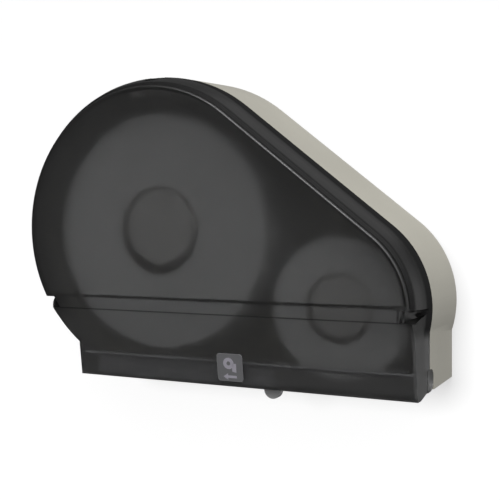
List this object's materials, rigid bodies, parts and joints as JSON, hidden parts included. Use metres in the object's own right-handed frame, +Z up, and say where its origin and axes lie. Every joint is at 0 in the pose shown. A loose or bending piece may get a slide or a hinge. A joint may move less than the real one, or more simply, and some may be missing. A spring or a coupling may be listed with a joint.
{
  "type": "toilet roll dispenser",
  "caption": "Wall-mounted jumbo toilet roll dispenser with a second hub for the stub roll: two-arc housing, hinged smoke cover, sliding outlet door and cam lock.",
  "frame": {"origin": "on the wall plane, at the centre of the four wall screws", "axes": "+X to the right as seen from the front, +Y into the wall, +Z up"},
  "size_m": [0.4235, 0.113, 0.3085],
  "materials": {
    "housing": "fine moulded grain, beige grey",
    "hub": "fine moulded grain",
    "fastener": "zinc plated",
    "tear_bar": "bright stainless",
    "keeper": "fine moulded grain",
    "smoke_cover": "smoke tinted, see-through, fine haze",
    "icon": "satin",
    "lock_metal": "satin nickel",
    "slide": "satin grey",
    "paper": "wound tissue",
    "cardboard": "spiral wound cardboard"
  },
  "bodies": {
    "base": {"base_housing": "housing", "jumbo_hub": "hub", "stub_hub": "hub", "hub_screws": "fastener", "hinge_pins": "fastener", "jumbo_tear_bar": "tear_bar", "stub_tear_bar": "tear_bar", "tear_bar_screws": "fastener", "lock_keeper": "keeper", "keeper_screws": "fastener"},
    "cover": {"cover_shell": "smoke_cover", "slide_rail": "smoke_cover", "icon_plate": "icon", "lock_housing": "lock_metal", "lock_nut": "lock_metal"},
    "lock": {"lock_plug": "lock_metal", "lock_cam": "lock_metal", "cam_screw": "fastener"},
    "slide": {"slide_door": "slide", "finger_tab": "slide"},
    "jumbo_roll": {"jumbo_paper": "paper", "jumbo_core": "cardboard"},
    "stub_roll": {"stub_paper": "paper", "stub_core": "cardboard"}
  },
  "joints": [
    {"name": "cover_hinge", "type": "hinge", "parent": "base", "child": "cover", "pos_m": [0, -0.074, -0.0915], "axis": [1, 0, 0], "range_deg": [0, 90]},
    {"name": "lock_turn", "type": "hinge", "parent": "cover", "child": "lock", "pos_m": [-0.023, -0.0924, 0.178], "axis": [0, 0, -1], "range_deg": [0, 90]},
    {"name": "door_slide", "type": "slide", "parent": "cover", "child": "slide", "axis": [1, 0, 0], "range_m": [0, 0.124]},
    {"name": "jumbo_turn", "type": "hinge", "parent": "base", "child": "jumbo_roll", "pos_m": [-0.0235, -0.0465, 0.0384], "axis": [0, 1, 0], "continuous": true},
    {"name": "stub_turn", "type": "hinge", "parent": "base", "child": "stub_roll", "pos_m": [0.163, -0.0465, -0.0306], "axis": [0, 1, 0], "continuous": true}
  ]
}
